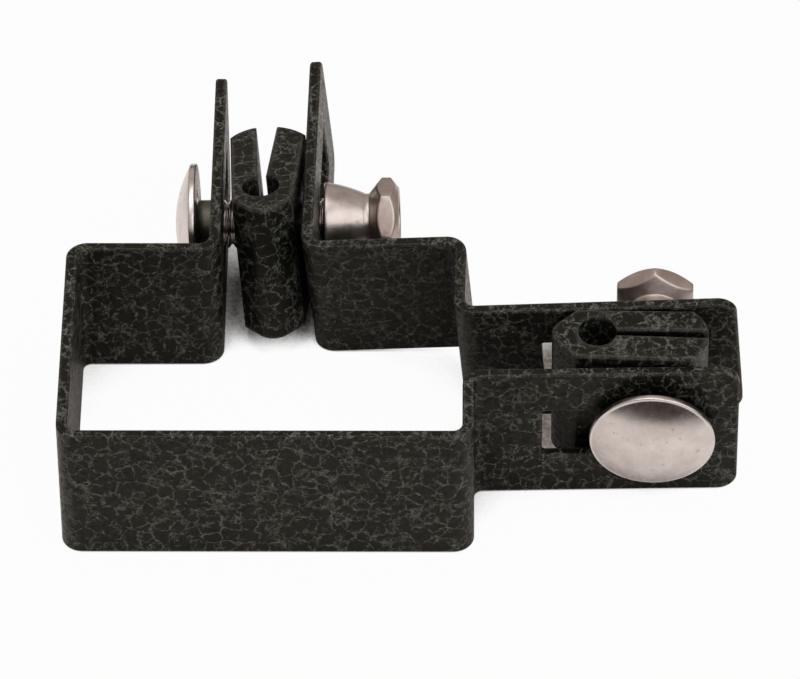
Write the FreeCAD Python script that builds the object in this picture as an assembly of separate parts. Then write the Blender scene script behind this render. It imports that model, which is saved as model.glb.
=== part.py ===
import FreeCAD, Part
import math
import os

# Corner clamp for a fence post of 60 x 40 mm, in millimetres.
# Two bent straps go round the post. Each strap ends in a slotted ear at the rear and a slotted
# flange at the side. A carriage bolt with a shear nut pulls each pair together, on to a split
# clip that grips an upright wire of the fence panel.
# The origin is on the axis of the post, in the plane that the clamp stands on.
# X points to the side flanges, Y to the rear ears and Z up the post.

Vector = FreeCAD.Vector
Rotation = FreeCAD.Rotation
Placement = FreeCAD.Placement

X_AXIS = Vector(1, 0, 0)
Y_AXIS = Vector(0, 1, 0)
Z_AXIS = Vector(0, 0, 1)

# Straps
opening_width = 61.0
opening_depth = 40.2
strap_height = 25.4
strap_thickness = 1.8
inner_bend_radius = 1.5
free_corner_radius = 3.0
strap_edge_break = 0.25

# Ears at the rear and flanges at the side: lengths from the outside of the wall that they leave,
# and the places of the faces that look at each other
long_ear_length = 40.4
short_ear_length = 40.0
long_flange_length = 41.3
short_flange_length = 42.6
long_ear_face_x = -8.0
short_ear_face_x = 5.9
long_flange_face_y = -5.8
long_flange_toe_in = 0.85
short_flange_face_y = 5.5

# One slot in each ear and flange, along its middle
long_slot_start = 10.6
short_ear_slot_start = 9.9
short_flange_slot_start = 11.6
slot_length = 21.5
slot_height = 9.6
slot_corner_radius = 0.6

# The short strap as it hangs on its slack bolts: turned about X, Y and Z, and drawn back
short_strap_roll = 5.5
short_strap_pitch = -4.1
short_strap_yaw = -1.6
short_strap_shift_x = 0.32
short_strap_shift_y = 2.4

# Carriage bolts, M8 x 30
head_diameter = 19.7
head_height = 3.6
head_rim = 0.9
dome_bands = 3
dome_fullness = 3
neck_side = 8.0
neck_length = 4.0
shank_diameter = 7.8
bolt_length = 30.0
bolt_point = 0.8

# Shear nuts: a cone against the strap, a thin waist that breaks, and a hexagon for the spanner,
# which swells out of the waist and is rounded off at its end
nut_bore = 8.2
cone_base_diameter = 12.7
cone_base_rim = 0.5
cone_middle_diameter = 11.2
cone_top_diameter = 9.0
cone_length = 6.4
waist_diameter = 8.8
waist_length = 0.8
hexagon_sides = 6
hexagon_across_flats = 12.6
hexagon_swell = 2.4
hexagon_ridge = 0.5
hexagon_end = 1.9
hexagon_end_diameter = 10.0

# Panel clips: a wedge nose with a rounded ridge and an eye for the wire, and two legs on either side of a saw cut.
# The eye and the cut are a little off the middle.
clip_height = 25.0
clip_half_width = 5.05
clip_nose_beyond_eye = 3.2
clip_nose_slant = 3.0
clip_ridge_half_width = 2.2
clip_ridge_rise = 0.9
clip_eye_diameter = 6.1
clip_eye_offset = 0.35
clip_eye_to_bolt = 8.6
clip_bolt_to_tips = 8.8
clip_cut = 0.9
clip_end_drop = 2.4
clip_end_bulge = 0.5
clip_edge_break = 0.3
clip_bolt_hole = 9.6

# The bolts: distance from the outside of the wall, gap under the head, lift in the slot, and
# how they tip up and swing sideways
side_bolt_reach = 27.9
side_head_gap = 1.45
side_bolt_lift = 0.68
side_bolt_tilt = 3.3
side_bolt_swing = -1.7
rear_bolt_reach = 16.95
rear_head_gap = 2.5
rear_bolt_lift = 0.7
rear_bolt_tilt = 1.8
side_nut_gap = 1.5
rear_nut_gap = 0.1
side_nut_turn = 0
rear_nut_turn = 13

# The clips on their bolts: how far they ride up, how their legs spread, and how they stand
side_clip_lift = 0.75
rear_clip_lift = 0.5
side_clip_shift = -0.3
side_clip_splay = 0.7
side_clip_middle_y = 0.18
rear_clip_splay = 4.0
rear_clip_middle_x = -0.3
rear_clip_swing = 9.5
rear_clip_lean = 4.2
rear_clip_yaw = -1.0

# Worked out from the sizes above
half_thickness = strap_thickness / 2
wall_middle_x = opening_width / 2 + half_thickness
wall_middle_y = opening_depth / 2 + half_thickness
outside_x = opening_width / 2 + strap_thickness
outside_y = opening_depth / 2 + strap_thickness
slot_middle_z = strap_height / 2
cut_through = 4 * strap_thickness
tolerance = 1e-4


def skin_edges(corners, side):
    """Edges of one skin of a strap, on the left (1) or right (-1) of the middle line's corners."""
    points = [Vector(x, y, 0) for x, y in corners]
    runs = [(after - before).normalize() for before, after in zip(points, points[1:])]
    lefts = [Z_AXIS.cross(run) for run in runs]
    offset = side * half_thickness
    edges = []
    start = points[0] + lefts[0] * offset
    for corner, arriving, leaving, left, next_left in zip(points[1:], runs, runs[1:], lefts, lefts[1:]):
        skin_corner = corner + (left + next_left) * (offset / (1 + left.dot(next_left)))
        turns_left = 1 if arriving.cross(leaving).z > 0 else -1
        radius = inner_bend_radius + half_thickness - turns_left * offset
        setback = radius * math.tan(arriving.getAngle(leaving) / 2)
        arc_start = skin_corner - arriving * setback
        arc_end = skin_corner + leaving * setback
        depth = math.hypot(radius, setback) - radius
        arc_middle = skin_corner + (leaving - arriving).normalize() * depth
        edges.append(Part.LineSegment(start, arc_start).toShape())
        edges.append(Part.Arc(arc_start, arc_middle, arc_end).toShape())
        start = arc_end
    edges.append(Part.LineSegment(start, points[-1] + lefts[-1] * offset).toShape())
    return edges


def strap_plan(corners):
    """Plan of a strap of constant thickness whose middle line follows the corners."""
    left = skin_edges(corners, 1)
    right = skin_edges(corners, -1)
    near_end = Part.LineSegment(left[0].firstVertex().Point, right[0].firstVertex().Point).toShape()
    far_end = Part.LineSegment(left[-1].lastVertex().Point, right[-1].lastVertex().Point).toShape()
    return Part.Face(Part.Wire(Part.__sortEdges__(left + right + [near_end, far_end])))


def slot_tool(start, angle):
    """Bar that cuts one slot: it starts this far along X and is turned by an angle about Z."""
    corner = Vector(start, -cut_through / 2, slot_middle_z - slot_height / 2)
    bar = Part.makeBox(slot_length, cut_through, slot_height, corner)
    across = [edge for edge in bar.Edges if edge.BoundBox.YLength > cut_through - tolerance]
    bar = bar.makeFillet(slot_corner_radius, across)
    bar.rotate(Vector(), Z_AXIS, angle)
    return bar


def end_corners(solid, near_point):
    """The two short edges at the corners of the free end of the middle line at this point."""
    end = Vector(*near_point)
    return [
        edge
        for edge in solid.Edges
        if edge.BoundBox.ZLength < tolerance
        and edge.Length < strap_thickness + tolerance
        and math.hypot(edge.CenterOfMass.x - end.x, edge.CenterOfMass.y - end.y) < half_thickness
    ]


def is_skin(face):
    """Whether a face is one of the two broad skins of a strap, and not its thin edge."""
    upright = abs(face.Surface.Axis.dot(Z_AXIS)) > tolerance
    if isinstance(face.Surface, Part.Cylinder):
        return upright
    return not upright and face.Area > 2 * strap_height * strap_thickness


def skin_rims(solid):
    """The edges where a skin meets the strap's thin edge, round the outline and the slots."""
    rims = []
    for edge in solid.Edges:
        skins = [face for face in solid.ancestorsOfType(edge, Part.Face) if is_skin(face)]
        if len(skins) == 1:
            rims.append(edge)
    return rims


def bent_strap(corners, ear_slot_start, flange_slot_start):
    """Strap whose middle line follows the corners, from the end of its ear to that of its flange."""
    ear_end, ear_root = corners[0], corners[1]
    flange_root, flange_end = corners[-2], corners[-1]
    strap = strap_plan(corners).extrude(Z_AXIS * strap_height)
    free_corners = end_corners(strap, ear_end) + end_corners(strap, flange_end)
    strap = strap.makeFillet(free_corner_radius, free_corners)
    ear_slot = slot_tool(ear_slot_start, 90)
    ear_slot.translate(Vector(ear_root[0], outside_y, 0))
    flange_run = Vector(*flange_end) - Vector(*flange_root)
    flange_angle = math.degrees(math.atan2(flange_run.y, flange_run.x))
    flange_slot = slot_tool(flange_slot_start, flange_angle)
    flange_slot.translate(Vector(outside_x, flange_root[1], 0))
    strap = strap.cut([ear_slot, flange_slot]).Solids[0]
    return strap.makeChamfer(strap_edge_break, skin_rims(strap))


def make_long_strap():
    """U-shaped strap: rear ear, half of the rear wall, left wall, front wall and front flange."""
    ear_x = long_ear_face_x - half_thickness
    flange_y = long_flange_face_y - half_thickness
    corners = [
        (ear_x, outside_y + long_ear_length),
        (ear_x, wall_middle_y),
        (-wall_middle_x, wall_middle_y),
        (-wall_middle_x, -wall_middle_y),
        (wall_middle_x, -wall_middle_y),
        (wall_middle_x, flange_y - long_flange_toe_in),
        (outside_x + long_flange_length, flange_y),
    ]
    return bent_strap(corners, long_slot_start, long_slot_start)


def make_short_strap():
    """L-shaped strap: rear ear, half of the rear wall, part of the right wall and rear flange."""
    ear_x = short_ear_face_x + half_thickness
    flange_y = short_flange_face_y + half_thickness
    corners = [
        (ear_x, outside_y + short_ear_length),
        (ear_x, wall_middle_y),
        (wall_middle_x, wall_middle_y),
        (wall_middle_x, flange_y),
        (outside_x + short_flange_length, flange_y),
    ]
    return bent_strap(corners, short_ear_slot_start, short_flange_slot_start)


def short_strap_stance(strap):
    """Placement of the short strap, turned about the root of its flange, its low corner at z = 0."""
    turn = Rotation(short_strap_yaw, short_strap_pitch, short_strap_roll)
    flange_root = Vector(outside_x, short_flange_face_y + strap_thickness, 0)
    stance = Placement(Vector(short_strap_shift_x, short_strap_shift_y, 0), turn, flange_root)
    turned = strap.copy()
    turned.Placement = stance
    stance.move(Vector(0, 0, -turned.optimalBoundingBox(True, False).ZMin))
    return stance


def revolved(points):
    """Solid about Y from a half section of (radius, y) corners."""
    corners = [Vector(radius, y, 0) for radius, y in points]
    return Part.Face(Part.makePolygon(corners + corners[:1])).revolve(Vector(), Y_AXIS, 360)


def make_carriage_bolt():
    """Bolt along Y with the underside of its domed head at y = 0 and its shank towards +Y."""
    head_radius = head_diameter / 2
    dome_rise = head_height - head_rim
    angles = [math.radians(90 * (1 - band / dome_bands)) for band in range(dome_bands + 1)]
    dome = [
        (head_radius * math.sin(angle), dome_rise * math.sin(angle) ** dome_fullness - head_height)
        for angle in angles
    ]
    head = revolved([(0, 0), (head_radius, 0)] + dome)
    neck = Part.makeBox(neck_side, neck_length, neck_side, Vector(-neck_side / 2, 0, -neck_side / 2))
    shank = Part.makeCylinder(shank_diameter / 2, bolt_length, Vector(), Y_AXIS)
    point = [edge for edge in shank.Edges if edge.BoundBox.YMin > bolt_length - tolerance]
    shank = shank.makeChamfer(bolt_point, point)
    return head.fuse([neck, shank]).removeSplitter().Solids[0]


def make_shear_nut():
    """Nut along Y with its broad base at y = 0 and its hexagon towards +Y."""
    bore = nut_bore / 2
    waist = waist_diameter / 2
    waist_end = cone_length + waist_length
    cone_section = [
        (bore, 0),
        (cone_base_diameter / 2, 0),
        (cone_base_diameter / 2, cone_base_rim),
        (cone_middle_diameter / 2, (cone_base_rim + cone_length) / 2),
        (cone_top_diameter / 2, cone_length),
        (waist, cone_length),
        (waist, waist_end),
        (bore, waist_end),
    ]
    cone = revolved(cone_section)
    half_corner = math.pi / hexagon_sides
    corner_radius = hexagon_across_flats / 2 / math.cos(half_corner)
    ridge_start = waist_end + hexagon_swell
    ridge_end = ridge_start + hexagon_ridge
    nut_end = ridge_end + hexagon_end
    barrel_section = [
        (bore, waist_end),
        (waist, waist_end),
        (corner_radius, ridge_start),
        (corner_radius, ridge_end),
        (hexagon_end_diameter / 2, nut_end),
        (bore, nut_end),
    ]
    barrel = revolved(barrel_section)
    angles = [half_corner * (2 * corner + 1) for corner in range(hexagon_sides + 1)]
    outline = [
        Vector(corner_radius * math.cos(angle), waist_end, corner_radius * math.sin(angle))
        for angle in angles
    ]
    hexagon = Part.Face(Part.makePolygon(outline)).extrude(Y_AXIS * (nut_end - waist_end))
    return cone.fuse(hexagon.common(barrel)).removeSplitter().Solids[0]


def clip_leg(eye, splay, side):
    """Corners of one leg from the mouth of the eye round its tip to the nose, far (1) or near (-1).

    The leg is turned outwards about the eye by the splay angle.
    """
    half_cut = clip_cut / 2
    outer_y = side * clip_half_width
    inner_y = clip_eye_offset + side * half_cut
    mouth_x = eye.x + math.sqrt((clip_eye_diameter / 2) ** 2 - half_cut ** 2)
    end_middle = Vector(clip_bolt_to_tips - clip_end_drop / 2 + clip_end_bulge, (inner_y + outer_y) / 2, 0)
    straight = [
        Vector(mouth_x, inner_y, 0),
        Vector(clip_bolt_to_tips, inner_y, 0),
        end_middle,
        Vector(clip_bolt_to_tips - clip_end_drop, outer_y, 0),
        Vector(eye.x - clip_nose_beyond_eye, outer_y, 0),
    ]
    turn = Rotation(Z_AXIS, side * splay)
    return [eye + turn.multVec(point - eye) for point in straight]


def make_panel_clip(splay):
    """Clip with its bolt hole at the origin along Y, its nose towards -X and its tips towards +X."""
    eye = Vector(-clip_eye_to_bolt, clip_eye_offset, 0)
    far = clip_leg(eye, splay, 1)
    near = clip_leg(eye, splay, -1)
    ridge_x = eye.x - clip_nose_beyond_eye - clip_nose_slant
    far_ridge = Vector(ridge_x, clip_ridge_half_width, 0)
    near_ridge = Vector(ridge_x, -clip_ridge_half_width, 0)
    nose_tip = Vector(ridge_x - clip_ridge_rise, 0, 0)
    eye_end = eye - X_AXIS * (clip_eye_diameter / 2)
    line = Part.LineSegment
    outline = Part.Wire([
        line(far[0], far[1]).toShape(),
        Part.Arc(far[1], far[2], far[3]).toShape(),
        line(far[3], far[4]).toShape(),
        line(far[4], far_ridge).toShape(),
        Part.Arc(far_ridge, nose_tip, near_ridge).toShape(),
        line(near_ridge, near[4]).toShape(),
        line(near[4], near[3]).toShape(),
        Part.Arc(near[3], near[2], near[1]).toShape(),
        line(near[1], near[0]).toShape(),
        Part.Arc(near[0], eye_end, far[0]).toShape(),
    ])
    body = Part.Face(outline).extrude(Z_AXIS * clip_height)
    body.translate(Z_AXIS * (-clip_height / 2))
    level_edges = [edge for edge in body.Edges if edge.BoundBox.ZLength < tolerance]
    eye_reach = (clip_eye_diameter + clip_cut) / 2
    outer_edges = [
        edge
        for edge in level_edges
        if math.hypot(edge.CenterOfMass.x - eye.x, edge.CenterOfMass.y - eye.y) > eye_reach
    ]
    body = body.makeChamfer(clip_edge_break, outer_edges)
    hole_depth = 4 * clip_half_width
    hole = Part.makeCylinder(clip_bolt_hole / 2, hole_depth, Vector(0, -hole_depth / 2, 0), Y_AXIS)
    return body.cut(hole).Solids[0]


def placed(shape, placement):
    """The shape moved to a placement."""
    moved = shape.copy()
    moved.Placement = placement
    return moved


def seat_distance(axis, face_point, face_normal):
    """How far along a bolt its nut's base first meets a face that isn't quite square to it."""
    direction = axis.Rotation.multVec(Y_AXIS)
    to_face = (face_point - axis.Base).dot(face_normal) / direction.dot(face_normal)
    slope = direction.getAngle(face_normal)
    return to_face + cone_base_diameter / 2 * math.tan(slope)


def along_bolt(axis, distance, lift=0, shift=0, turn=0):
    """Placement a distance along a bolt from its head, moved off its axis and turned about it."""
    return axis.multiply(Placement(Vector(shift, distance, lift), Rotation(Y_AXIS, turn)))


long_strap = make_long_strap()
short_strap = make_short_strap()
short_stance = short_strap_stance(short_strap)
short_strap = placed(short_strap, short_stance)

# Each bolt's placement is at the underside of its head, with local Y along the bolt
side_bolt_x = outside_x + side_bolt_reach
toe_in_at_bolt = long_flange_toe_in * (1 - side_bolt_reach / long_flange_length)
side_slot_y = long_flange_face_y - half_thickness - toe_in_at_bolt
side_bolt_in_slot = Vector(side_bolt_x, side_slot_y, slot_middle_z + side_bolt_lift)
side_turn = Rotation(Z_AXIS, side_bolt_swing).multiply(Rotation(X_AXIS, side_bolt_tilt))
side_axis = Placement(side_bolt_in_slot, side_turn)
side_axis = along_bolt(side_axis, -half_thickness - side_head_gap)

rear_bolt_y = outside_y + rear_bolt_reach
rear_bolt_in_slot = Vector(long_ear_face_x - half_thickness, rear_bolt_y, slot_middle_z + rear_bolt_lift)
head_to_left = Rotation(Z_AXIS, -90)
rear_axis = Placement(rear_bolt_in_slot, Rotation(Y_AXIS, -rear_bolt_tilt).multiply(head_to_left))
rear_axis = along_bolt(rear_axis, -half_thickness - rear_head_gap)

# The nuts stand off the outside of the short strap by their gaps, because the bolts are slack
side_face = short_stance.multVec(Vector(side_bolt_x, short_flange_face_y + strap_thickness, slot_middle_z))
side_normal = short_stance.Rotation.multVec(Y_AXIS)
side_nut_distance = seat_distance(side_axis, side_face, side_normal) + side_nut_gap
rear_face = short_stance.multVec(Vector(short_ear_face_x + strap_thickness, rear_bolt_y, slot_middle_z))
rear_normal = short_stance.Rotation.multVec(X_AXIS)
rear_nut_distance = seat_distance(rear_axis, rear_face, rear_normal) + rear_nut_gap

side_nut_place = along_bolt(side_axis, side_nut_distance, turn=side_nut_turn)
rear_nut_place = along_bolt(rear_axis, rear_nut_distance, turn=rear_nut_turn)

# The side clip lies square on its bolt, and the rear clip has swung its tips down
side_clip_distance = (side_clip_middle_y - side_axis.Base.y) / math.cos(math.radians(side_bolt_tilt))
side_clip_place = along_bolt(side_axis, side_clip_distance, side_clip_lift, side_clip_shift)

rear_clip_distance = (rear_clip_middle_x - rear_axis.Base.x) / math.cos(math.radians(rear_bolt_tilt))
rear_clip_base = along_bolt(rear_axis, rear_clip_distance, rear_clip_lift).Base
tips_to_rear = Rotation(Z_AXIS, 90 + rear_clip_yaw)
swing = Rotation(X_AXIS, -rear_clip_swing)
rear_clip_turn = Rotation(Y_AXIS, -rear_clip_lean).multiply(swing).multiply(tips_to_rear)
rear_clip_place = Placement(rear_clip_base, rear_clip_turn)

carriage_bolt = make_carriage_bolt()
shear_nut = make_shear_nut()

nodes = {
    "long_strap": long_strap,
    "short_strap": short_strap,
    "side_panel_clip": placed(make_panel_clip(side_clip_splay), side_clip_place),
    "rear_panel_clip": placed(make_panel_clip(rear_clip_splay), rear_clip_place),
    "side_carriage_bolt": placed(carriage_bolt, side_axis),
    "rear_carriage_bolt": placed(carriage_bolt, rear_axis),
    "side_shear_nut": placed(shear_nut, side_nut_place),
    "rear_shear_nut": placed(shear_nut, rear_nut_place),
}

os.makedirs("parts", exist_ok=True)
for name, shape in nodes.items():
    shape.exportStep(f"parts/{name}.step")
    print(name, "solids", len(shape.Solids), "valid", shape.isValid(), "volume", round(shape.Volume))
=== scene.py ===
import math

import bpy
from mathutils import Matrix, Vector


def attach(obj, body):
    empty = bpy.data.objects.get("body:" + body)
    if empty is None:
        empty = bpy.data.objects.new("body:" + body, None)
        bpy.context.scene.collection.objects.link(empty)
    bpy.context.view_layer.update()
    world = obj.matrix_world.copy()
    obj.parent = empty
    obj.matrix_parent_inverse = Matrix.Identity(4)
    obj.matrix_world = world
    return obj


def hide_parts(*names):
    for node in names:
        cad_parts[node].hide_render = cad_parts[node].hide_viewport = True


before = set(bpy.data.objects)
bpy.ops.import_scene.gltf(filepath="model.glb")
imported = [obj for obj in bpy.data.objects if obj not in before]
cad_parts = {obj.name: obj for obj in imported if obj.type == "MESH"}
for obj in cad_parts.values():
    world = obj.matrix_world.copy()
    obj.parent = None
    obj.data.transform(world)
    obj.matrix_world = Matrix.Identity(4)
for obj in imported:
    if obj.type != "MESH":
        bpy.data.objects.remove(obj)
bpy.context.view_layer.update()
scene = bpy.context.scene

# Camera: photo frame and the view measured from the photograph, in metres and degrees
PHOTO_WIDTH = 800
FOCAL_PIXELS = 7050
SENSOR_WIDTH_MM = 36.0
VIEW_DISTANCE = 1.110
VIEW_PITCH = 44.18
VIEW_YAW = -0.97
VIEW_ROLL = 0.60
VIEW_TARGET = Vector((-0.00002, -0.00023, 0.0125))
VIEW_OFFSET_RIGHT = -0.02062
VIEW_OFFSET_DOWN = 0.00925
CLIP_START = 0.05
CLIP_END = 20


def make_camera():
    """Camera that sees the clamp as the photograph does."""
    pitch = math.radians(VIEW_PITCH)
    yaw = math.radians(VIEW_YAW)
    roll = math.radians(VIEW_ROLL)
    level_forward = Vector((math.sin(yaw), math.cos(yaw), 0))
    forward = level_forward * math.cos(pitch) + Vector((0, 0, -math.sin(pitch)))
    level_right = Vector((math.cos(yaw), -math.sin(yaw), 0))
    level_down = forward.cross(level_right)
    right = level_right * math.cos(roll) + level_down * math.sin(roll)
    down = level_down * math.cos(roll) - level_right * math.sin(roll)
    place = VIEW_TARGET - right * VIEW_OFFSET_RIGHT - down * VIEW_OFFSET_DOWN
    place -= forward * VIEW_DISTANCE
    data = bpy.data.cameras.new("photo_camera")
    data.sensor_width = SENSOR_WIDTH_MM
    data.lens = FOCAL_PIXELS / PHOTO_WIDTH * SENSOR_WIDTH_MM
    data.clip_start = CLIP_START
    data.clip_end = CLIP_END
    camera = bpy.data.objects.new("photo_camera", data)
    camera.matrix_world = Matrix((
        (right.x, -down.x, -forward.x, place.x),
        (right.y, -down.y, -forward.y, place.y),
        (right.z, -down.z, -forward.z, place.z),
        (0, 0, 0, 1),
    ))
    scene.collection.objects.link(camera)
    scene.camera = camera


class Nodes:
    """Short way to write a material's node tree."""

    def __init__(self, tree):
        self.tree = tree
        tree.nodes.clear()

    def add(self, kind, **settings):
        node = self.tree.nodes.new(kind)
        for name, value in settings.items():
            setattr(node, name, value)
        return node

    def feed(self, socket, value):
        """Link a node's socket, or set a plain value."""
        if isinstance(value, bpy.types.NodeSocket):
            self.tree.links.new(value, socket)
        else:
            socket.default_value = value

    def math(self, operation, *values, clamp=False):
        node = self.add("ShaderNodeMath", operation=operation, use_clamp=clamp)
        for socket, value in zip(node.inputs, values):
            self.feed(socket, value)
        return node.outputs[0]

    def step(self, value, low, high, out_low=0.0, out_high=1.0):
        """Smooth step of a value between two limits."""
        node = self.add("ShaderNodeMapRange", interpolation_type="SMOOTHSTEP")
        names = ("Value", "From Min", "From Max", "To Min", "To Max")
        for name, given in zip(names, (value, low, high, out_low, out_high)):
            self.feed(node.inputs[name], given)
        return node.outputs[0]

    def vector(self, operation, *values):
        """Vector sum, difference, product or the like of sockets and fixed vectors."""
        node = self.add("ShaderNodeVectorMath", operation=operation)
        for socket, value in zip(node.inputs, values):
            self.feed(socket, value)
        return node

    def noise(self, vector, scale, detail, roughness):
        node = self.add("ShaderNodeTexNoise")
        self.feed(node.inputs["Vector"], vector)
        self.feed(node.inputs["Scale"], scale)
        self.feed(node.inputs["Detail"], detail)
        self.feed(node.inputs["Roughness"], roughness)
        return node

    def field(self, vector, kind):
        """Grey noise of a kind: features per metre, detail and roughness."""
        return self.noise(vector, *kind).outputs["Fac"]

    def openness(self, reach, samples, *limits):
        """Smooth step of how little of the view round a point is closed in."""
        closed_in = self.add("ShaderNodeAmbientOcclusion", samples=samples)
        closed_in.inputs["Distance"].default_value = reach
        return self.step(closed_in.outputs["AO"], *limits)

    def join(self, share, first, second):
        """Shader that goes from the first to the second with a share."""
        node = self.add("ShaderNodeMixShader")
        self.feed(node.inputs[0], share)
        self.feed(node.inputs[1], first.outputs[0])
        self.feed(node.inputs[2], second.outputs[0])
        return node

    def mix(self, factor, a, b):
        node = self.add("ShaderNodeMix", data_type="RGBA")
        self.feed(node.inputs[0], factor)
        self.feed(node.inputs[6], a)
        self.feed(node.inputs[7], b)
        return node.outputs[2]


def new_material(name):
    material = bpy.data.materials.new(name)
    material.use_nodes = True
    return material, Nodes(material.node_tree)


def finish_material(nodes, shader):
    output = nodes.add("ShaderNodeOutputMaterial")
    nodes.feed(output.inputs["Surface"], shader.outputs[0])


# Vein coat: near-black powder coat with a net of fine grey veins
COAT_DARK = (0.0028, 0.0048, 0.0029, 1)
COAT_BROWN = (0.0115, 0.0112, 0.0074, 1)
# Near-black of the dark specks by the veins, also used as the painted shade in hollows
COAT_SPECK_AND_CAVITY_SHADE = (0.0009, 0.0010, 0.0007, 1)
VEIN_DIM = (0.090, 0.094, 0.080, 1)
VEIN_GREY = (0.235, 0.240, 0.212, 1)
# Pale grey of the edge wear, which is partly a painted highlight along the edges
EDGE_WEAR_AND_HIGHLIGHT_GREY = (0.200, 0.188, 0.170, 1)
CELLS_PER_METRE = 390
FINE_CELLS = 2.1
SWAY_PER_METRE = 420
SWAY_SIZE = 0.0021
RAGGED_PER_METRE = 1700
RAGGED_SIZE = 0.0009
COAT_SPECULAR = 0.20
COAT_TINT = (1.0, 0.92, 0.78, 1)
EDGE_RADIUS = 0.0004
RIDGE_RADIUS = 0.0011
# Painted highlight along the clip's shallow ridges: its pale grey and how strong it is
RIDGE_HIGHLIGHT_GREY = (0.105, 0.108, 0.094, 1)
CLIP_RIDGE_HIGHLIGHT = 0.6
# Painted shade in hollows: reach and samples of the occlusion that darkens the coat's colour there
CAVITY_SHADE_REACH = 0.006
CAVITY_SHADE_SAMPLES = 6
BEVEL_SAMPLES = 4
BUMP_STRENGTH = 0.8
BUMP_DISTANCE = 0.00014
PEEL_HEIGHT = 0.8
VEIN_HEIGHT = 0.5
FINE_NET_OFFSET = (0.31, 0.17, 0.53)
CLIP_COAT_OFFSET = (0.13, 0.07, 0.29)

# Noise of the coat: features per metre, detail and roughness
WARP_DETAIL = (3.0, 0.6)
BROAD_NOISE = (300, 2.0, 0.5)
GAP_NOISE = (800, 2.0, 0.5)
FINE_GAP_NOISE = (420, 2.0, 0.5)
GRAIN_NOISE = (3600, 2.0, 0.6)
CLOUD_NOISE = (160, 3.0, 0.6)
SPECK_NOISE = (1500, 2.0, 0.6)
PEEL_NOISE = (900, 3.0, 0.6)

# Width of the threads of a net, as a share of its cells
THREAD_WIDTH = (0.35, 0.7, 0.060, 0.13)
HALO_WIDTH = 0.30
FINE_WIDTH = 0.13

# Steps over noise or over a share: its two limits and what they give
GAP_STEP = (0.38, 0.54, 0.05, 1.0)
FINE_GAP_STEP = (0.49, 0.62, 0.0, 0.75)
GRAIN_STEP = (0.32, 0.60, 0.25, 1.0)
BROWN_STEP = (0.30, 0.62)
BROWN_SPECK_STEP = (0.3, 0.7, 0.5, 1.0)
HALO_STEP = (0.40, 0.60, 0.0, 0.85)
THREAD_STEP = (0.35, 0.60)
EDGE_LIMITS = (0.995, 0.90)
RIDGE_LIMITS = (0.9995, 0.985)
# The next three steps are for the painted ridge highlight, the edge wear that is partly a painted
# highlight, and the painted shade in hollows
RIDGE_HIGHLIGHT_STEP = (0.36, 0.62, 0.10)
EDGE_WEAR_AND_HIGHLIGHT_STEP = (0.38, 0.62, 0.05, 0.8)
CAVITY_SHADE_STEP = (0.22, 0.62, 0.12, 1.0)
STREAK_STEP = (0.42, 0.62, 0.0, 0.8)
ROUGHNESS_STEP = (0.0, 1.0, 0.30, 0.62)


def shifted(nodes, position, offset):
    """Position moved by a fixed offset."""
    return nodes.vector("ADD", position, offset).outputs[0]


def warped(nodes, position, scale, size):
    """Position pushed about by noise, so that straight borders turn ragged."""
    noise = nodes.noise(position, scale, *WARP_DETAIL)
    centred = nodes.vector("SUBTRACT", noise.outputs["Color"], (0.5, 0.5, 0.5))
    scaled = nodes.vector("SCALE", centred.outputs[0])
    scaled.inputs["Scale"].default_value = size
    return nodes.vector("ADD", position, scaled.outputs[0]).outputs[0]


def vein_net(nodes, position, cells, width):
    """How near a point is to the net's threads: 1 on a thread, 0 inside a cell."""
    voronoi = nodes.add("ShaderNodeTexVoronoi", feature="DISTANCE_TO_EDGE")
    nodes.feed(voronoi.inputs["Vector"], position)
    voronoi.inputs["Scale"].default_value = cells
    voronoi.inputs["Randomness"].default_value = 1.0
    return nodes.step(voronoi.outputs["Distance"], 0.0, width, 1.0, 0.0)


def edge_share(nodes, radius, face_limit, edge_limit):
    """How much a point is on an edge, from 0 on a face to 1, and the rounded normal there."""
    bevel = nodes.add("ShaderNodeBevel", samples=BEVEL_SAMPLES)
    bevel.inputs["Radius"].default_value = radius
    geometry = nodes.add("ShaderNodeNewGeometry")
    dot = nodes.vector("DOT_PRODUCT", bevel.outputs[0], geometry.outputs["Normal"])
    return nodes.step(dot.outputs["Value"], edge_limit, face_limit, 1.0, 0.0), bevel.outputs[0]


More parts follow.
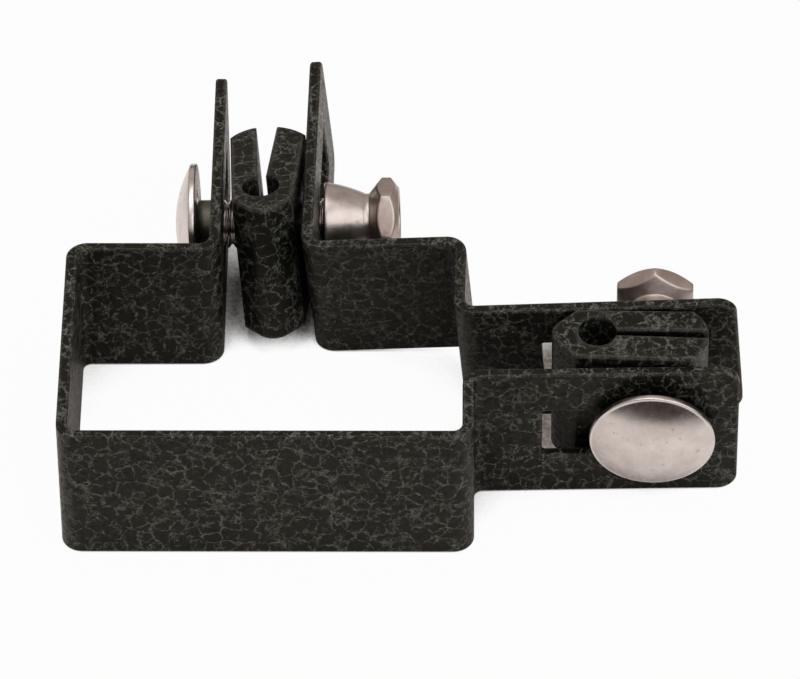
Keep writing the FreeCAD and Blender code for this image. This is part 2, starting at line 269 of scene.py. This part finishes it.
def make_vein_coat(name, offset, ridge_highlight):
    """Powder coat with veins, painted shade in its hollows, and edge wear that is partly a painted
    highlight; the last argument is how strong a painted highlight its shallow ridges get, 0 for
    none.
    """
    material, nodes = new_material(name)
    coordinates = shifted(nodes, nodes.add("ShaderNodeTexCoord").outputs["Object"], offset)
    swayed = warped(nodes, coordinates, SWAY_PER_METRE, SWAY_SIZE)
    position = warped(nodes, swayed, RAGGED_PER_METRE, RAGGED_SIZE)
    width = nodes.step(nodes.field(coordinates, BROAD_NOISE), *THREAD_WIDTH)
    main = vein_net(nodes, position, CELLS_PER_METRE, width)
    halo = vein_net(nodes, position, CELLS_PER_METRE, HALO_WIDTH)
    fine_position = shifted(nodes, position, FINE_NET_OFFSET)
    fine = vein_net(nodes, fine_position, CELLS_PER_METRE * FINE_CELLS, FINE_WIDTH)
    main_left = nodes.step(nodes.field(coordinates, GAP_NOISE), *GAP_STEP)
    fine_left = nodes.step(nodes.field(coordinates, FINE_GAP_NOISE), *FINE_GAP_STEP)
    main = nodes.math("MULTIPLY", main, main_left)
    fine = nodes.math("MULTIPLY", fine, fine_left)
    grain = nodes.field(coordinates, GRAIN_NOISE)
    veins = nodes.math("MAXIMUM", main, fine)
    veins = nodes.math("MULTIPLY", veins, nodes.step(grain, *GRAIN_STEP))

    cloud = nodes.step(nodes.field(coordinates, CLOUD_NOISE), *BROWN_STEP)
    specks = nodes.field(coordinates, SPECK_NOISE)
    brown = nodes.math("MULTIPLY", cloud, nodes.step(specks, *BROWN_SPECK_STEP))
    ground = nodes.mix(brown, COAT_DARK, COAT_BROWN)
    shade = nodes.math("MULTIPLY", halo, nodes.step(specks, *HALO_STEP))
    ground = nodes.mix(shade, ground, COAT_SPECK_AND_CAVITY_SHADE)
    thread = nodes.mix(nodes.step(specks, *THREAD_STEP), VEIN_DIM, VEIN_GREY)
    colour = nodes.mix(veins, ground, thread)

    peel = nodes.field(coordinates, PEEL_NOISE)
    edge, round_normal = edge_share(nodes, EDGE_RADIUS, *EDGE_LIMITS)
    # Painted highlight: pale grey along the shallow ridges, standing in for the lamps' reflection
    # there
    if ridge_highlight:
        ridge, round_normal = edge_share(nodes, RIDGE_RADIUS, *RIDGE_LIMITS)
        painted_ridge_highlight = nodes.math("MULTIPLY", ridge, nodes.step(peel, *RIDGE_HIGHLIGHT_STEP, ridge_highlight))
        colour = nodes.mix(painted_ridge_highlight, colour, RIDGE_HIGHLIGHT_GREY)
    # Edge wear, partly a painted highlight: pale grey specks along sharp edges, where the lamps
    # leave a thin bright line
    edge_wear_and_highlight = nodes.math("MULTIPLY", edge, nodes.step(grain, *EDGE_WEAR_AND_HIGHLIGHT_STEP))
    colour = nodes.mix(edge_wear_and_highlight, colour, EDGE_WEAR_AND_HIGHLIGHT_GREY)
    # Painted shade: the colour goes to near-black in hollows and narrow gaps, where little of the
    # view round a point is open
    clear_of_painted_cavity_shade = nodes.openness(CAVITY_SHADE_REACH, CAVITY_SHADE_SAMPLES, *CAVITY_SHADE_STEP)
    colour = nodes.mix(clear_of_painted_cavity_shade, COAT_SPECK_AND_CAVITY_SHADE, colour)

    shader = nodes.add("ShaderNodeBsdfPrincipled")
    nodes.feed(shader.inputs["Base Color"], colour)
    shader.inputs["Specular IOR Level"].default_value = COAT_SPECULAR
    shader.inputs["Specular Tint"].default_value = COAT_TINT
    streaks = nodes.math("MAXIMUM", veins, nodes.step(specks, *STREAK_STEP))
    nodes.feed(shader.inputs["Roughness"], nodes.step(streaks, *ROUGHNESS_STEP))
    peel_height = nodes.math("MULTIPLY", peel, PEEL_HEIGHT)
    height = nodes.math("ADD", peel_height, nodes.math("MULTIPLY", veins, VEIN_HEIGHT))
    bump = nodes.add("ShaderNodeBump")
    bump.inputs["Strength"].default_value = BUMP_STRENGTH
    bump.inputs["Distance"].default_value = BUMP_DISTANCE
    nodes.feed(bump.inputs["Height"], height)
    nodes.feed(bump.inputs["Normal"], round_normal)
    nodes.feed(shader.inputs["Normal"], bump.outputs[0])
    finish_material(nodes, shader)
    return material


# Bright metals of the bolts and nuts: dark and light colour, roughness, strength of the grain
BRIGHT_METAL = ((0.57, 0.525, 0.505, 1), (0.71, 0.675, 0.660, 1), 0.23, 0.10)
NECK_METAL = ((0.16, 0.15, 0.115, 1), (0.27, 0.255, 0.21, 1), 0.50, 0.30)
CONE_METAL = ((0.47, 0.42, 0.39, 1), (0.62, 0.57, 0.54, 1), 0.32, 0.15)
CAST_METAL = ((0.44, 0.375, 0.34, 1), (0.58, 0.51, 0.475, 1), 0.36, 0.30)
SCUFF_DARK = (0.30, 0.27, 0.25, 1)
SCUFF_STRENGTH = 0.4
METAL_CLOUD_NOISE = (260, 4.0, 0.6)
METAL_GRAIN_NOISE = (2600, 3.0, 0.6)
PIT_NOISE = (1100, 2.0, 0.5)
SCUFF_NOISE = (720, 5.0, 0.65)
METAL_STEP = (0.3, 0.7)
SCUFF_STEP = (0.60, 0.70, 0.0)
POLISH_LIMITS = (0.3, 0.75)
POLISH_RANGE = (0.85, 1.25)
SCUFF_ROUGHNESS = 0.3
METAL_GRAIN_HEIGHT = 0.4
METAL_BUMP_DISTANCE = 0.00006


def make_bright_metal(name, dark, light, roughness, grain_strength):
    """Clouded bright metal with fine pits and dull scuffs."""
    material, nodes = new_material(name)
    coordinates = nodes.add("ShaderNodeTexCoord").outputs["Object"]
    cloud = nodes.field(coordinates, METAL_CLOUD_NOISE)
    grain = nodes.field(coordinates, METAL_GRAIN_NOISE)
    pits = nodes.field(coordinates, PIT_NOISE)
    colour = nodes.mix(nodes.step(cloud, *METAL_STEP), dark, light)
    scuffs = nodes.step(nodes.field(coordinates, SCUFF_NOISE), *SCUFF_STEP, SCUFF_STRENGTH)
    colour = nodes.mix(scuffs, colour, SCUFF_DARK)
    shader = nodes.add("ShaderNodeBsdfPrincipled")
    nodes.feed(shader.inputs["Base Color"], colour)
    shader.inputs["Metallic"].default_value = 1.0
    smoothest, roughest = POLISH_RANGE
    polish = nodes.step(cloud, *POLISH_LIMITS, roughness * smoothest, roughness * roughest)
    dulled = nodes.math("MULTIPLY", scuffs, SCUFF_ROUGHNESS)
    nodes.feed(shader.inputs["Roughness"], nodes.math("ADD", polish, dulled))
    bump = nodes.add("ShaderNodeBump")
    bump.inputs["Strength"].default_value = grain_strength
    bump.inputs["Distance"].default_value = METAL_BUMP_DISTANCE
    height = nodes.math("ADD", nodes.math("MULTIPLY", grain, METAL_GRAIN_HEIGHT), pits)
    nodes.feed(bump.inputs["Height"], height)
    nodes.feed(shader.inputs["Normal"], bump.outputs[0])
    finish_material(nodes, shader)
    return material


# Bolts and nuts: sizes in millimetres, local Y along the bolt from the underside of its head
MILLIMETRE = 0.001
TURN = 2 * math.pi
BOLT_SIDES = 96
HEAD_RADIUS = 9.85
HEAD_HEIGHT = 3.6
HEAD_RIM = 0.9
RIM_ROUND = 0.4
RIM_LIFT = 0.12
DOME_END_INSET = 0.22
UNDER_ROUND = 0.25
UNDERSIDE_RADII = (8.0, 6.2)
DOME_RINGS = 28
ROUND_RINGS = 5
NECK_HALF = 4.0
NECK_SQUARENESS = 12
NECK_LENGTH = 4.0
NECK_START = 0.1
NECK_RINGS = (0.0, 0.15, 1.4, 2.8)
NECK_FILLET = 0.15
NECK_FADE = 0.9
NECK_FADE_RINGS = 6
BOLT_LENGTH = 30.0
THREAD_PITCH = 1.25
THREAD_CREST = 3.9
THREAD_ROOT = 3.3
THREAD_RINGS_PER_PITCH = 10
FLANK_SLOPE = 3.2
ROOT_SHARE = 0.3
POINT_LENGTH = 0.9
POINT_TAPER = 0.2
NUT_SIDES = 144
NUT_BORE = 4.1
BORE_RIPPLE = 0.1
BORE_MOUTH = 4.22
BORE_CHAMFER = 0.15
NUT_RINGS = 18
CONE_BASE = (0.6, 6.32)
CONE_FOOT = ((0.0, 6.15), (0.12, 6.3), (0.3, 6.35), CONE_BASE)
CONE_MIDDLE_RADIUS = 5.6
CONE_TOP = (6.4, 4.5)
WAIST_RADIUS = 4.4
WAIST_START = 6.52
WAIST_END = 7.2
WAIST_CORNER = 0.1
SWELL = 2.1
RIDGE = 1.3
NUT_END_LENGTH = 1.4
NUT_END_RADIUS = 5.2
HEXAGON_FLAT = 6.08
HEXAGON_CORNER = 7.02
HEXAGON_SHARPNESS = 110
HEXAGON_BLEND = 70


def blend(low, high, share):
    return low + (high - low) * share


def smooth(share):
    share = min(1.0, max(0.0, share))
    return share * share * (3 - 2 * share)


def head_profile():
    """Radius and y of the head, from the top of its dome round the rim to its underside."""
    rise = HEAD_HEIGHT - HEAD_RIM
    dome_radius = (HEAD_RADIUS ** 2 + rise ** 2) / (2 * rise)
    centre_y = dome_radius - HEAD_HEIGHT
    reach = math.asin((HEAD_RADIUS - DOME_END_INSET) / dome_radius)
    profile = []
    for ring in range(1, DOME_RINGS + 1):
        angle = reach * ring / DOME_RINGS
        profile.append((dome_radius * math.sin(angle), centre_y - dome_radius * math.cos(angle)))
    for ring in range(1, ROUND_RINGS + 1):
        angle = blend(reach, TURN / 4, ring / ROUND_RINGS)
        radius = HEAD_RADIUS - RIM_ROUND + RIM_ROUND * math.sin(angle)
        profile.append((radius, RIM_LIFT - HEAD_RIM - RIM_ROUND * math.cos(angle)))
    for ring in range(ROUND_RINGS + 1):
        angle = TURN / 4 * ring / ROUND_RINGS
        radius = HEAD_RADIUS - UNDER_ROUND + UNDER_ROUND * math.cos(angle)
        profile.append((radius, -UNDER_ROUND + UNDER_ROUND * math.sin(angle)))
    return profile + [(radius, 0.0) for radius in UNDERSIDE_RADII]


def neck_radius(angle):
    """Radius of the square neck with rounded corners."""
    power = NECK_SQUARENESS
    total = abs(math.cos(angle)) ** power + abs(math.sin(angle)) ** power
    return NECK_HALF / total ** (1 / power)


def thread_radius(angle, y, root, crest):
    """Radius of a helical thread with flattened crests and roots."""
    phase = (y / THREAD_PITCH - angle / TURN) % 1
    flank = min(1.0, max(0.0, abs(phase - 0.5) * FLANK_SLOPE - ROOT_SHARE))
    return blend(root, crest, flank)


def lathe(stations, sides, radius_at):
    """Closed skin of rings: each station is a y, and radius_at gives the radius at an angle."""
    vertices = []
    faces = []
    for place, y in enumerate(stations):
        for side in range(sides):
            angle = TURN * side / sides
            radius = radius_at(place, angle)
            vertices.append((radius * math.cos(angle), y, radius * math.sin(angle)))
    for place in range(len(stations) - 1):
        for side in range(sides):
            here = place * sides + side
            beside = place * sides + (side + 1) % sides
            faces.append((here, here + sides, beside + sides, beside))
    return vertices, faces


def cap(vertices, faces, ring_start, sides, y, at_start):
    """Close the first or the last ring of the skin with a fan about the axis."""
    centre = len(vertices)
    vertices.append((0, y, 0))
    for side in range(sides):
        here = ring_start + side
        beside = ring_start + (side + 1) % sides
        faces.append((here, beside, centre) if at_start else (beside, here, centre))


def make_piece(name, skin, placement, node, finishes, second_from, second_to):
    """Mesh piece at a placement in millimetres, riding on the only body in place of its node.

    Faces whose first corner is between second_from and second_to take the second finish.
    """
    vertices, faces = skin
    mesh = bpy.data.meshes.new(name)
    points = [placement @ Vector((x, y, z)) * MILLIMETRE for x, y, z in vertices]
    mesh.from_pydata(points, [], faces)
    mesh.polygons.foreach_set("use_smooth", [True] * len(mesh.polygons))
    for material in finishes:
        mesh.materials.append(material)
    for polygon, face in zip(mesh.polygons, faces):
        corner_y = vertices[face[0]][1]
        polygon.material_index = 1 if second_from <= corner_y < second_to else 0
    piece = bpy.data.objects.new(name, mesh)
    scene.collection.objects.link(piece)
    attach(piece, "root")
    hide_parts(node)


def bolt_skin():
    """Carriage bolt: domed head, square neck, helical thread and chamfered point."""
    head = head_profile()
    neck_ys = list(NECK_RINGS) + [NECK_LENGTH - NECK_FADE]
    fades = range(1, NECK_FADE_RINGS + 1)
    fade_ys = [NECK_LENGTH - NECK_FADE * (1 - step / NECK_FADE_RINGS) for step in fades]
    thread_length = BOLT_LENGTH - NECK_LENGTH
    count = round(thread_length / THREAD_PITCH * THREAD_RINGS_PER_PITCH)
    thread_ys = [NECK_LENGTH + thread_length * step / count for step in range(1, count + 1)]
    stations = [y for radius, y in head] + neck_ys + fade_ys + thread_ys

    def radius_at(place, angle):
        if place < len(head):
            return head[place][0]
        y = stations[place]
        if place == len(head):
            return neck_radius(angle) + NECK_FILLET
        thread = thread_radius(angle, y, THREAD_ROOT, THREAD_CREST)
        share = smooth((y - NECK_LENGTH + NECK_FADE) / NECK_FADE)
        radius = blend(neck_radius(angle), thread, share)
        from_end = min(1.0, (BOLT_LENGTH - y) / POINT_LENGTH)
        return min(radius, blend(THREAD_ROOT - POINT_TAPER, THREAD_CREST, from_end))

    vertices, faces = lathe(stations, BOLT_SIDES, radius_at)
    cap(vertices, faces, 0, BOLT_SIDES, -HEAD_HEIGHT, True)
    cap(vertices, faces, (len(stations) - 1) * BOLT_SIDES, BOLT_SIDES, BOLT_LENGTH, False)
    return vertices, faces


def hexagon_radius(angle):
    """Radius of a hexagon with softly rounded corners."""
    total = 0.0
    for flat in range(6):
        facing = math.cos(angle - TURN * flat / 6)
        if facing > 0:
            total += facing ** HEXAGON_SHARPNESS
    return HEXAGON_FLAT / total ** (1 / HEXAGON_SHARPNESS)


def nut_profile():
    """Radius, y and whether the hexagon cuts it, from the base along the outside to the end."""
    profile = [(radius, y, False) for y, radius in CONE_FOOT]
    shares = [ring / NUT_RINGS for ring in range(NUT_RINGS + 1)]
    bow = CONE_MIDDLE_RADIUS - (CONE_BASE[1] + CONE_TOP[1]) / 2
    for share in shares[1:]:
        straight = blend(CONE_BASE[1], CONE_TOP[1], share)
        radius = straight + 4 * share * (1 - share) * bow
        profile.append((radius, blend(CONE_BASE[0], CONE_TOP[0], share), False))
    profile.append((WAIST_RADIUS, WAIST_START, False))
    profile.append((WAIST_RADIUS, WAIST_END - WAIST_CORNER, False))
    ridge_start = WAIST_END + SWELL
    ridge_end = ridge_start + RIDGE
    for share in shares:
        radius = blend(WAIST_RADIUS, HEXAGON_CORNER, share)
        profile.append((radius, blend(WAIST_END, ridge_start, share), True))
    for share in shares:
        radius = blend(HEXAGON_CORNER, NUT_END_RADIUS, share)
        profile.append((radius, blend(ridge_end, ridge_end + NUT_END_LENGTH, share), True))
    return profile


def nut_skin():
    """Shear nut: cone, waist and hexagon outside, and a threaded bore inside."""
    outside = nut_profile()
    end_y = outside[-1][1]
    count = round(end_y / THREAD_PITCH * THREAD_RINGS_PER_PITCH)
    bore_length = end_y - 2 * BORE_CHAMFER
    bore_ys = [end_y - BORE_CHAMFER - bore_length * step / count for step in range(count + 1)]
    stations = [0.0] + [y for radius, y, cut in outside] + [end_y] + bore_ys + [0.0]

    def radius_at(place, angle):
        if place in (0, len(stations) - 1, len(outside) + 1):
            return BORE_MOUTH
        if place <= len(outside):
            radius, y, cut = outside[place - 1]
            if not cut:
                return radius
            flat = hexagon_radius(angle)
            return (radius ** -HEXAGON_BLEND + flat ** -HEXAGON_BLEND) ** (-1 / HEXAGON_BLEND)
        root, crest = NUT_BORE - BORE_RIPPLE, NUT_BORE + BORE_RIPPLE
        return thread_radius(angle, stations[place], root, crest)

    return lathe(stations, NUT_SIDES, radius_at)


# Underside of the bolts' heads in millimetres and turn of their axes in degrees
SIDE_BOLT_PLACE = (60.1304, -9.3209, 13.2447)
SIDE_BOLT_YAW = -1.7
SIDE_BOLT_RISE = 3.3
REAR_BOLT_PLACE = (-12.2983, 38.85, 13.2932)
REAR_BOLT_YAW = -90
REAR_BOLT_RISE = -1.8
SIDE_NUT_DISTANCE = 18.8943
REAR_NUT_DISTANCE = 20.5160
REAR_NUT_TURN = 13


def turned(degrees, axis):
    return Matrix.Rotation(math.radians(degrees), 4, axis)


def nut_place(bolt, distance, turn):
    return bolt @ Matrix.Translation((0, distance, 0)) @ turned(turn, "Y")


def make_fasteners(bolt_finishes, nut_finishes):
    side_turn = turned(SIDE_BOLT_YAW, "Z") @ turned(SIDE_BOLT_RISE, "X")
    rear_turn = turned(REAR_BOLT_RISE, "Y") @ turned(REAR_BOLT_YAW, "Z")
    side_bolt = Matrix.Translation(SIDE_BOLT_PLACE) @ side_turn
    rear_bolt = Matrix.Translation(REAR_BOLT_PLACE) @ rear_turn
    side_nut = nut_place(side_bolt, SIDE_NUT_DISTANCE, 0)
    rear_nut = nut_place(rear_bolt, REAR_NUT_DISTANCE, REAR_NUT_TURN)
    bolt = bolt_skin()
    nut = nut_skin()
    neck = (bolt_finishes, NECK_START, NECK_LENGTH)
    hexagon = (nut_finishes, WAIST_END, math.inf)
    make_piece("side_bolt_detail", bolt, side_bolt, "side_carriage_bolt", *neck)
    make_piece("rear_bolt_detail", bolt, rear_bolt, "rear_carriage_bolt", *neck)
    make_piece("side_nut_detail", nut, side_nut, "side_shear_nut", *hexagon)
    make_piece("rear_nut_detail", nut, rear_nut, "rear_shear_nut", *hexagon)


# Studio: white floor that keeps the object's shadow in its gaps, with a painted patch of shade
# under the side bolt, warm surroundings, soft lamps
FLOOR_HALF = 3.0
FLOOR_DROP = 0.0001
FLOOR_LIT = (0.78, 0.72, 0.69, 1)
FLOOR_REFLECTED = (0.97, 0.90, 0.86, 1)
FLOOR_SHADED = (0.42, 0.37, 0.35, 1)
FLOOR_FAR = (0.045, 0.033, 0.027, 1)
SHEET_SHIFT = (-0.02, -0.02, 0.0)
SHEET_BRIGHT = 0.080
SHEET_END = 0.145
SHADE_REACH = 0.03
SHADE_DARK = 0.12
SHADE_CLEAR = 0.34
MIRROR_REACH = 0.06
MIRROR_DARK = 0.30
MIRROR_CLEAR = 0.65
WHITE_SHARE = 0.97
# Painted shade on the floor under the side bolt: centre, reach, full share and the grey colours of
# a soft round patch
GAP_SHADE_CENTRE = (0.0475, 0.0125, 0.0)
GAP_SHADE_REACH = (0.017, 0.021, 1.0)
GAP_SHADE_FULL = 0.45
GAP_SHADE_LIGHT = (0.230, 0.195, 0.178, 1)
GAP_SHADE_DARK = (0.120, 0.100, 0.089, 1)
FLOOR_SAMPLES = 16
MIRROR_SAMPLES = 5
PAPER_NOISE = (1300, 3.0, 0.6)
PAPER_STEP = (0.35, 0.65)


def painted_gap_shade_share(nodes, coordinates):
    """Share of a soft round patch of painted shade under the side bolt, where the camera looks
    through the flanges' slots.
    """
    centred = nodes.vector("SUBTRACT", coordinates, GAP_SHADE_CENTRE)
    scaled = nodes.vector("DIVIDE", centred.outputs[0], GAP_SHADE_REACH)
    distance = nodes.vector("LENGTH", scaled.outputs[0])
    return nodes.step(distance.outputs["Value"], GAP_SHADE_FULL, 1.0, 1.0, 0.0)


def make_floor():
    """Floor that the camera sees as white, as lit floor where the object closes it in, and as a
    painted patch of shade under the side bolt.
    """
    mesh = bpy.data.meshes.new("floor")
    size = FLOOR_HALF
    corners = [(-size, -size, 0), (size, -size, 0), (size, size, 0), (-size, size, 0)]
    mesh.from_pydata(corners, [], [(0, 1, 2, 3)])
    floor = bpy.data.objects.new("floor", mesh)
    floor.location.z = -FLOOR_DROP
    material, nodes = new_material("floor_white")
    coordinates = nodes.add("ShaderNodeTexCoord").outputs["Object"]
    mottle = nodes.step(nodes.field(coordinates, PAPER_NOISE), *PAPER_STEP)
    lit = nodes.add("ShaderNodeBsdfDiffuse")
    nodes.feed(lit.inputs["Color"], nodes.mix(mottle, FLOOR_LIT, FLOOR_SHADED))
    white = nodes.add("ShaderNodeEmission")
    warm = nodes.add("ShaderNodeEmission")
    distance = nodes.vector("LENGTH", shifted(nodes, coordinates, SHEET_SHIFT))
    far = nodes.step(distance.outputs["Value"], SHEET_BRIGHT, SHEET_END)
    nodes.feed(warm.inputs["Color"], nodes.mix(far, FLOOR_REFLECTED, FLOOR_FAR))
    # Painted shade: a glowing grey patch that the camera sees under the side bolt
    painted_gap_shade = nodes.add("ShaderNodeEmission")
    nodes.feed(painted_gap_shade.inputs["Color"], nodes.mix(mottle, GAP_SHADE_DARK, GAP_SHADE_LIGHT))

    rays = nodes.add("ShaderNodeLightPath")
    to_camera = rays.outputs["Is Camera Ray"]
    open_floor = nodes.openness(SHADE_REACH, FLOOR_SAMPLES, SHADE_DARK, SHADE_CLEAR)
    open_mirror = nodes.openness(MIRROR_REACH, MIRROR_SAMPLES, MIRROR_DARK, MIRROR_CLEAR)
    by_camera = nodes.math("MULTIPLY", to_camera, nodes.math("MULTIPLY", open_floor, WHITE_SHARE))
    by_mirror = nodes.math("MULTIPLY", rays.outputs["Is Glossy Ray"], open_mirror)
    in_painted_gap_shade = nodes.math("MULTIPLY", to_camera, painted_gap_shade_share(nodes, coordinates))
    reflected = nodes.join(by_mirror, lit, warm)
    seen = nodes.join(by_camera, reflected, white)
    finish_material(nodes, nodes.join(in_painted_gap_shade, seen, painted_gap_shade))
    mesh.materials.append(material)
    scene.collection.objects.link(floor)


# Surroundings: colours of the dark band and the room, and where one goes over into the other
HORIZON_FRONT = (0.030, 0.022, 0.018, 1)
ROOM_WARM = (0.50, 0.44, 0.41, 1)
ROOM_FILL = 0.55
ROOM_LIMITS = (0.25, 0.65)
BEHIND_SHARE = 0.9
ASIDE_SHARE = 0.25
WHITE = (1, 1, 1, 1)


def make_world():
    """White for the camera; a dark band in front and a warm room above and behind for the rest."""
    world = bpy.data.worlds.new("studio")
    world.use_nodes = True
    scene.world = world
    nodes = Nodes(world.node_tree)
    direction = nodes.add("ShaderNodeTexCoord").outputs["Generated"]
    split = nodes.add("ShaderNodeSeparateXYZ")
    nodes.feed(split.inputs[0], direction)
    towards_rear = nodes.math("MAXIMUM", split.outputs["Y"], 0.0)
    behind = nodes.math("MULTIPLY", towards_rear, BEHIND_SHARE)
    aside = nodes.math("MULTIPLY", nodes.math("ABSOLUTE", split.outputs["X"]), ASIDE_SHARE)
    rise = nodes.math("ADD", split.outputs["Z"], nodes.math("ADD", behind, aside))
    colour = nodes.mix(nodes.step(rise, *ROOM_LIMITS), HORIZON_FRONT, ROOM_WARM)
    soft = nodes.add("ShaderNodeBackground")
    nodes.feed(soft.inputs["Color"], colour)
    rays = nodes.add("ShaderNodeLightPath")
    fill = nodes.step(rays.outputs["Is Diffuse Ray"], 0.0, 1.0, 1.0, ROOM_FILL)
    nodes.feed(soft.inputs["Strength"], fill)
    white = nodes.add("ShaderNodeBackground")
    white.inputs["Color"].default_value = WHITE
    white.inputs["Strength"].default_value = 1.0
    seen = nodes.join(rays.outputs["Is Camera Ray"], soft, white)
    output = nodes.add("ShaderNodeOutputWorld")
    nodes.feed(output.inputs["Surface"], seen.outputs[0])


# Lamps: place in metres, width and height in metres, and power in watts
LAMP_TARGET = (0.02, 0.02, 0.012)
FRONT_LAMP = ((0.85, -0.75, 1.05), (1.8, 1.6), 11.0)
TOP_LAMP = ((-0.10, 0.15, 1.30), (1.0, 0.8), 3.5)


def add_lamp(name, place, size, power):
    data = bpy.data.lights.new(name, "AREA")
    data.shape = "RECTANGLE"
    data.size, data.size_y = size
    data.energy = power
    lamp = bpy.data.objects.new(name, data)
    lamp.location = place
    aim = Vector(LAMP_TARGET) - Vector(place)
    lamp.rotation_euler = aim.to_track_quat("-Z", "Y").to_euler()
    scene.collection.objects.link(lamp)


scene.view_settings.view_transform = "Standard"
make_camera()
make_world()
add_lamp("front_right_box", *FRONT_LAMP)
add_lamp("top_box", *TOP_LAMP)
make_floor()

coat = make_vein_coat("vein_coat", (0.0, 0.0, 0.0), 0.0)
# The clips' coat gets the painted highlight along its ridges
clip_coat = make_vein_coat("clip_vein_coat", CLIP_COAT_OFFSET, CLIP_RIDGE_HIGHLIGHT)
metal = make_bright_metal("bright_metal", *BRIGHT_METAL)
neck_metal = make_bright_metal("neck_metal", *NECK_METAL)
cone_metal = make_bright_metal("cone_metal", *CONE_METAL)
cast_metal = make_bright_metal("cast_metal", *CAST_METAL)
finishes = {
    "long_strap": coat,
    "short_strap": coat,
    "side_panel_clip": clip_coat,
    "rear_panel_clip": clip_coat,
    "side_carriage_bolt": metal,
    "rear_carriage_bolt": metal,
    "side_shear_nut": cast_metal,
    "rear_shear_nut": cast_metal,
}
for name, material in finishes.items():
    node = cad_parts[name]
    node.data.materials.clear()
    node.data.materials.append(material)

make_fasteners([metal, neck_metal], [cone_metal, cast_metal])
